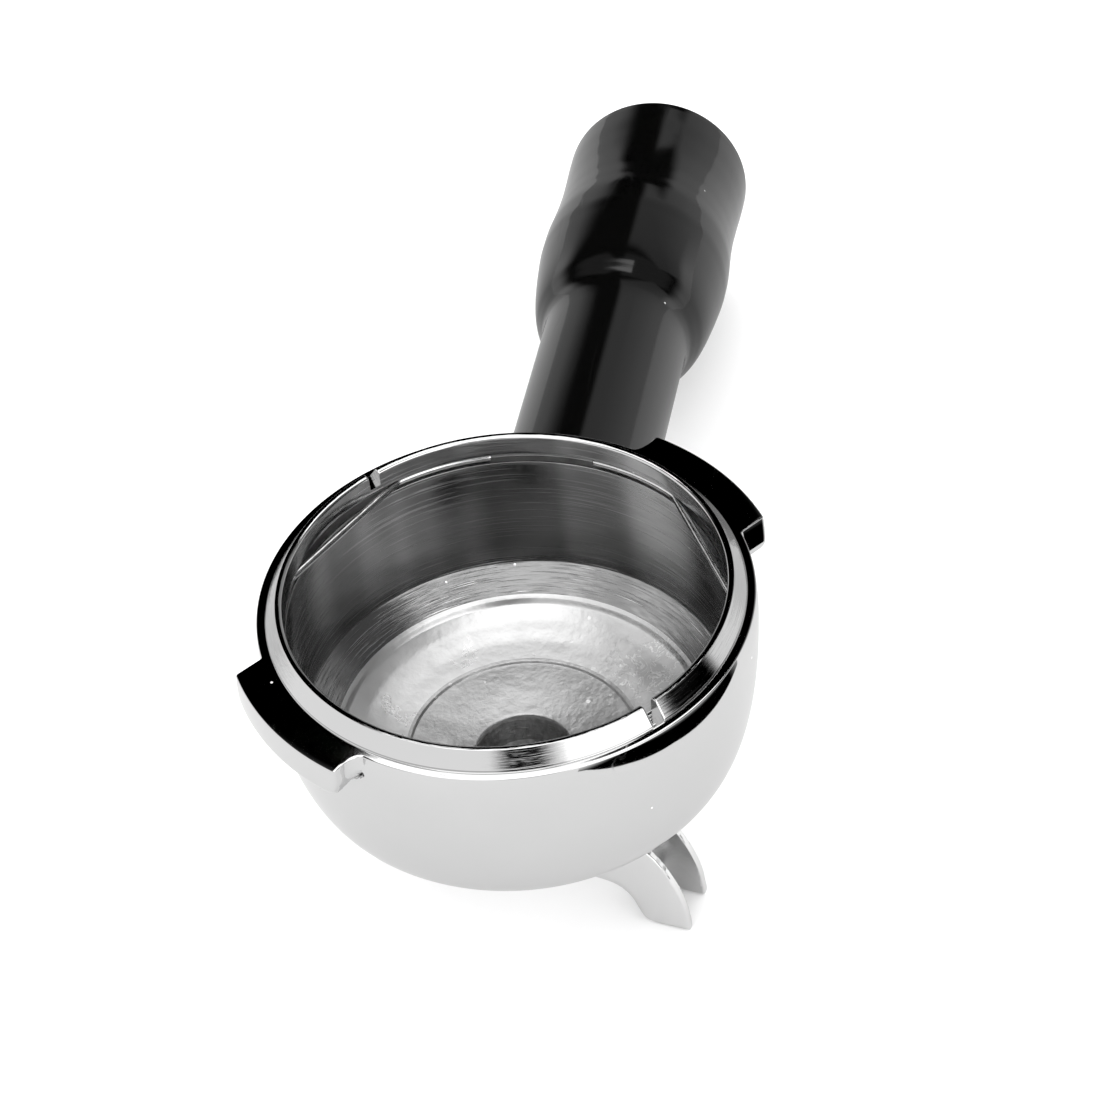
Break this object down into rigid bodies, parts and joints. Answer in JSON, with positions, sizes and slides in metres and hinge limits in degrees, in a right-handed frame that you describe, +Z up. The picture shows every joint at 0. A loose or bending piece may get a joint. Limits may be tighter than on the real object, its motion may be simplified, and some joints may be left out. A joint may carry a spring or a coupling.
{
  "type": "espresso machine portafilter",
  "caption": "Chromed bayonet-lug filter holder bowl with a basket spring, an open double spout and a black turned grip on a drooping boss.",
  "frame": {"origin": "on the bowl's axis, at the small flat face under the middle of the double spout", "axes": "+Z up along the bowl's axis, out of the mouth; +Y horizontally towards the grip; +X completes a right-handed frame"},
  "size_m": [0.0698, 0.1929, 0.062],
  "materials": {
    "chrome_plate": "mirror-polished chrome plate on brass; turned inside, cast floor",
    "chrome_cast": "polished chrome plate on a casting",
    "spring_wire": "drawn stainless spring wire",
    "zinc_steel": "zinc-plated steel",
    "insert_brass": "machined brass",
    "gasket": "sealing washer, off-white",
    "grip_plastic": "gloss black moulding",
    "plug_plastic": "black moulding, slightly less glossy"
  },
  "bodies": {
    "bowl": {"bowl_body": "chrome_plate", "handle_stud": "zinc_steel"},
    "spring": {"basket_spring": "spring_wire"},
    "gasket": {"spout_gasket": "gasket"},
    "spout": {"spout_body": "chrome_cast"},
    "washer": {"handle_washer": "zinc_steel"},
    "grip": {"handle_grip": "grip_plastic", "handle_insert": "insert_brass", "handle_end_plug": "plug_plastic"}
  },
  "joints": [
    {"name": "spring_turn", "type": "hinge", "parent": "bowl", "child": "spring", "pos_m": [0, 0, 0.0518], "axis": [0, 0, 1], "continuous": true},
    {"name": "spout_drop", "type": "slide", "parent": "bowl", "child": "gasket", "axis": [0, 0, -1], "range_m": [0, 0.00668]},
    {"name": "spout_unscrew", "type": "hinge", "parent": "gasket", "child": "spout", "pos_m": [0, 0, 0.011], "axis": [0, 0, -1], "range_deg": [0, 1800]},
    {"name": "grip_back_off", "type": "slide", "parent": "bowl", "child": "washer", "axis": [0, 0.9933, -0.1153], "range_m": [0, 0.02099]},
    {"name": "grip_unscrew", "type": "hinge", "parent": "washer", "child": "grip", "pos_m": [0, 0.0596, 0.02524], "axis": [0, 0.9933, -0.1153], "range_deg": [0, 4320]}
  ],
  "couplings": [
    {"joint": "spout_unscrew", "follows": "spout_drop", "rad_per_m": 4699.5},
    {"joint": "grip_unscrew", "follows": "grip_back_off", "rad_per_m": 3590.4}
  ]
}
